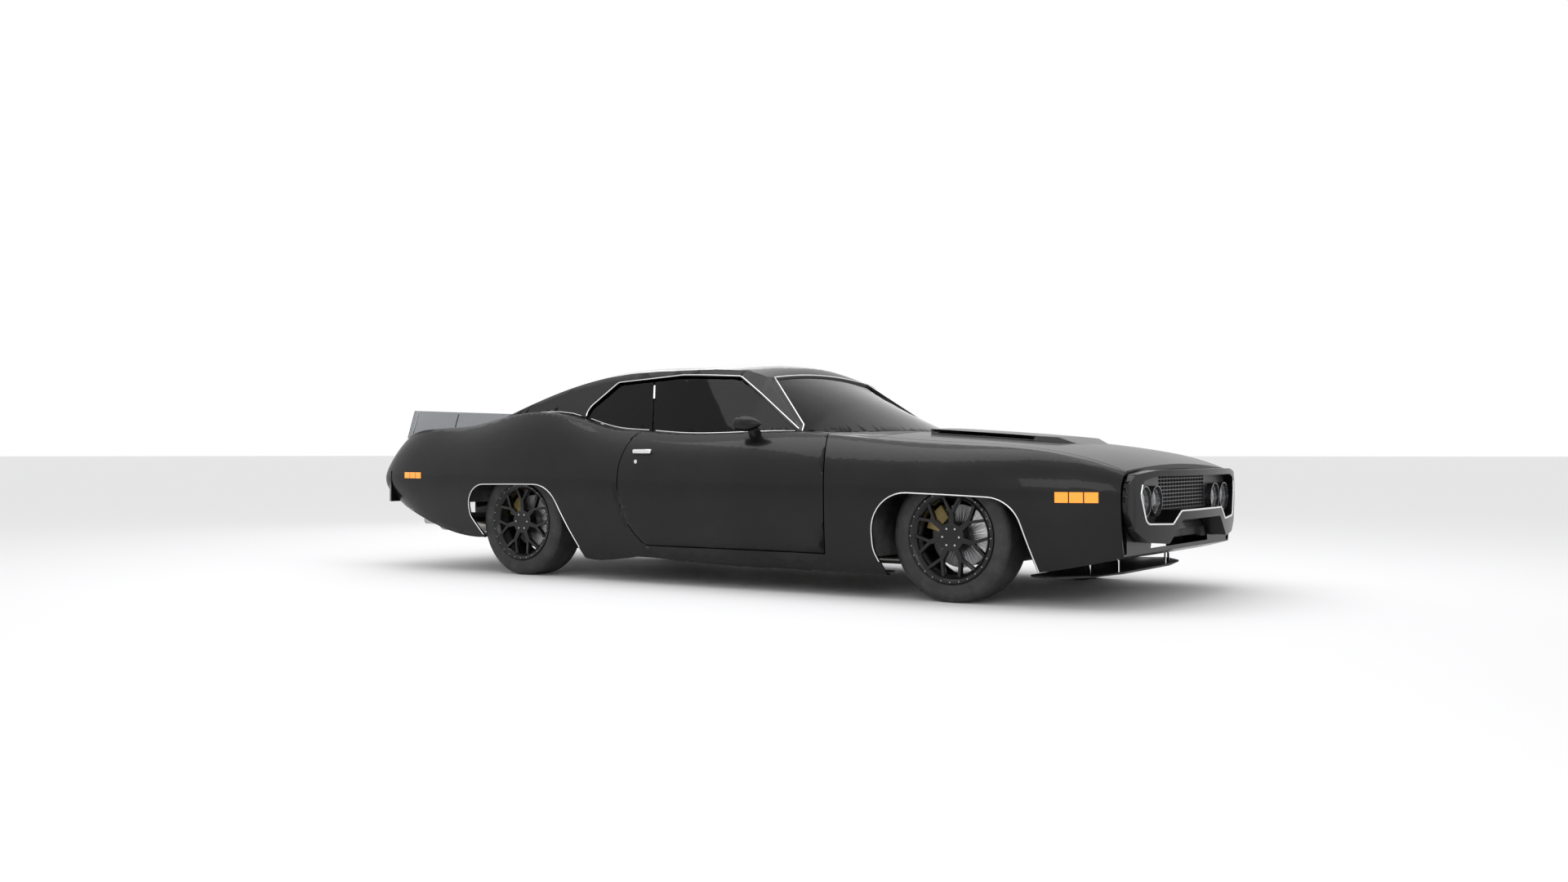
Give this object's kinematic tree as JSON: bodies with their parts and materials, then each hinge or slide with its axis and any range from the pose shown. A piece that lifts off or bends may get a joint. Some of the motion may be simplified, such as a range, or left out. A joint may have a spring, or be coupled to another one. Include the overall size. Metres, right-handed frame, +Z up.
{
  "type": "two-door muscle car",
  "caption": "Lowered two-door coupe with a long hood, fastback roof, loop bumper, deep-set lamps, spoked wheels and a blade spoiler; doors and lids open and the front wheels steer.",
  "frame": {"origin": "on the ground, midway between the front and rear ends, on the centre line", "axes": "+X towards the nose, +Y towards the car's left side, +Z up"},
  "size_m": [5.161, 2.0116, 1.2725],
  "materials": {
    "body_paint": "gloss black paint",
    "glass_dark": "dark tinted glass",
    "structure": "satin black primer and sealer",
    "black_plastic": "matt black plastic",
    "seat_leather": "black leather",
    "tyre_rubber": "black tyre rubber",
    "rim_paint": "gloss black wheel paint",
    "disc_steel": "machined steel",
    "cast_parts": "cast iron, painted dark",
    "exhaust_steel": "stainless steel",
    "amber_lens": "amber lens",
    "red_lens": "red lens",
    "clear_lens": "clear lamp glass",
    "smoked_blade": "smoked clear plastic"
  },
  "bodies": {
    "body": {"roof": "body_paint", "windscreen": "glass_dark", "rear_glass": "glass_dark", "quarter_glass": "glass_dark", "front_fender_left": "body_paint", "front_fender_right": "body_paint", "quarter_panel_left": "body_paint", "quarter_panel_right": "body_paint", "cowl": "body_paint", "rear_deck": "body_paint", "tail_panel": "body_paint", "tail_lamps": "red_lens", "rear_bumper": "body_paint", "side_markers": "amber_lens", "front_valance": "body_paint", "front_bumper": "body_paint", "grille": "black_plastic", "headlamps": "clear_lens", "splitter": "black_plastic", "floor_pan": "structure", "engine": "cast_parts", "front_frame": "structure", "rear_axle": "cast_parts", "exhaust": "exhaust_steel", "fuel_tank": "structure", "front_seat_cushions": "seat_leather", "front_seat_backs": "seat_leather", "rear_seat_cushion": "seat_leather", "rear_seat_back": "seat_leather", "dashboard": "black_plastic", "steering_wheel": "black_plastic"},
    "hood": {"hood": "body_paint"},
    "boot_lid": {"boot_lid": "body_paint", "spoiler": "smoked_blade"},
    "door_left": {"door_left": "body_paint", "door_glass_left": "glass_dark", "mirror_left": "body_paint"},
    "door_right": {"door_right": "body_paint", "door_glass_right": "glass_dark", "mirror_right": "body_paint"},
    "knuckle_left": {"knuckle_left": "cast_parts"},
    "knuckle_right": {"knuckle_right": "cast_parts"},
    "wheel_front_left": {"rim_front_left": "rim_paint", "brake_disc_front_left": "disc_steel", "tyre_front_left": "tyre_rubber"},
    "wheel_front_right": {"rim_front_right": "rim_paint", "brake_disc_front_right": "disc_steel", "tyre_front_right": "tyre_rubber"},
    "wheel_rear_left": {"rim_rear_left": "rim_paint", "brake_disc_rear_left": "disc_steel", "tyre_rear_left": "tyre_rubber"},
    "wheel_rear_right": {"rim_rear_right": "rim_paint", "brake_disc_rear_right": "disc_steel", "tyre_rear_right": "tyre_rubber"}
  },
  "joints": [
    {"name": "hood_hinge", "type": "hinge", "parent": "body", "child": "hood", "pos_m": [1.06, 0, 0.802], "axis": [0, -1, 0], "range_deg": [0, 50]},
    {"name": "boot_hinge", "type": "hinge", "parent": "body", "child": "boot_lid", "pos_m": [-1.82, 0, 0.899], "axis": [0, 1, 0], "range_deg": [0, 60]},
    {"name": "door_left_hinge", "type": "hinge", "parent": "body", "child": "door_left", "pos_m": [0.99285, 0.967, 0.5], "axis": [0, 0, -1], "range_deg": [0, 60]},
    {"name": "door_right_hinge", "type": "hinge", "parent": "body", "child": "door_right", "pos_m": [0.99285, -0.967, 0.5], "axis": [0, 0, 1], "range_deg": [0, 60]},
    {"name": "steer_left", "type": "hinge", "parent": "body", "child": "knuckle_left", "pos_m": [1.6105, 0.7, 0.324], "axis": [0, 0, 1], "range_deg": [-23, 23]},
    {"name": "steer_right", "type": "hinge", "parent": "body", "child": "knuckle_right", "pos_m": [1.6105, -0.7, 0.324], "axis": [0, 0, 1], "range_deg": [-23, 23]},
    {"name": "wheel_front_left_spin", "type": "hinge", "parent": "knuckle_left", "child": "wheel_front_left", "pos_m": [1.6105, 0.7905, 0.324], "axis": [0, 1, 0], "continuous": true},
    {"name": "wheel_rear_left_spin", "type": "hinge", "parent": "body", "child": "wheel_rear_left", "pos_m": [-1.3105, 0.7905, 0.324], "axis": [0, 1, 0], "continuous": true},
    {"name": "wheel_front_right_spin", "type": "hinge", "parent": "knuckle_right", "child": "wheel_front_right", "pos_m": [1.6105, -0.7905, 0.324], "axis": [0, 1, 0], "continuous": true},
    {"name": "wheel_rear_right_spin", "type": "hinge", "parent": "body", "child": "wheel_rear_right", "pos_m": [-1.3105, -0.7905, 0.324], "axis": [0, 1, 0], "continuous": true}
  ],
  "couplings": [
    {"joint": "steer_right", "follows": "steer_left", "ratio": 1}
  ]
}
